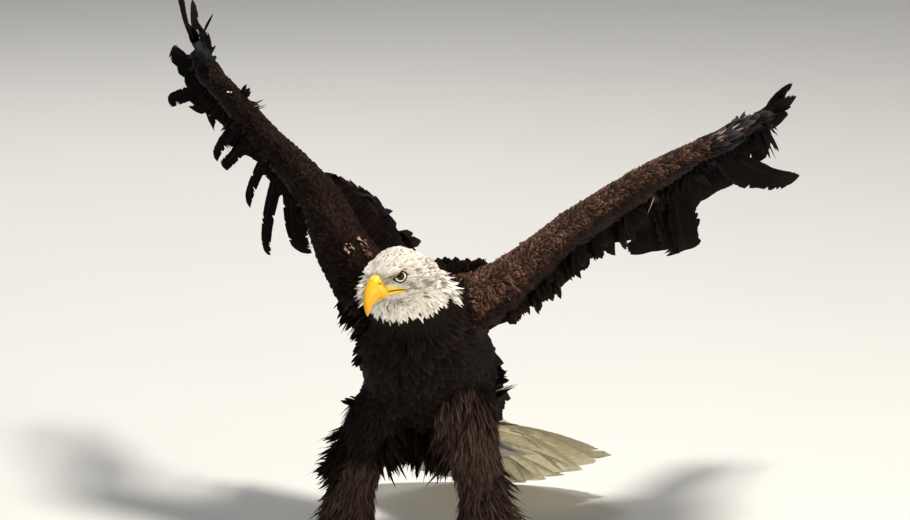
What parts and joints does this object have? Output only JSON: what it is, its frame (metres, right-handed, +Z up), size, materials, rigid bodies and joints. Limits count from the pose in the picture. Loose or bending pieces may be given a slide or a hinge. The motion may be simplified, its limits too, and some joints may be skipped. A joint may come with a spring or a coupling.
{
  "type": "bald eagle",
  "caption": "Life-size bald eagle, standing with its head thrust forward and turned, both wings raised and half folded, and its fanned tail lowered to the ground.",
  "frame": {"origin": "on the ground, under the middle of the bird's outline seen from above", "axes": "+Z up; the bird faces -Y, so its left side is towards +X; +X runs across the raised wings"},
  "size_m": [0.9806, 0.8806, 0.7431],
  "materials": {
    "body_feathers": "matte dark brown feathers with paler fringes",
    "wing_feathers": "matte dark brown scale-like coverts with rusty fringes",
    "flight_feathers": "blackish brown flight feathers with a faint sheen",
    "head_feathers": "matte white lance-shaped feathers",
    "tail_feathers": "cream white tail feathers",
    "bill": "satin yellow horn",
    "eye": "wet pale yellow iris with a black pupil",
    "foot_skin": "scaly yellow skin",
    "claw": "glossy black horn"
  },
  "bodies": {
    "root": {"claw_left_hind": "claw", "claw_left_inner": "claw", "claw_left_middle": "claw", "claw_left_outer": "claw", "claw_right_hind": "claw", "claw_right_inner": "claw", "claw_right_middle": "claw", "claw_right_outer": "claw", "eye_left": "eye", "eye_right": "eye", "foot_left": "foot_skin", "foot_right": "foot_skin", "head": "head_feathers", "leg_left": "body_feathers", "leg_right": "body_feathers", "lower_bill": "bill", "neck": "head_feathers", "tail": "tail_feathers", "trunk": "body_feathers", "upper_bill": "bill", "wing_left_arm": "wing_feathers", "wing_left_flight": "flight_feathers", "wing_left_hand": "wing_feathers", "wing_left_shoulder": "wing_feathers", "wing_right_arm": "wing_feathers", "wing_right_flight": "flight_feathers", "wing_right_hand": "wing_feathers", "wing_right_shoulder": "wing_feathers"}
  },
  "joints": []
}
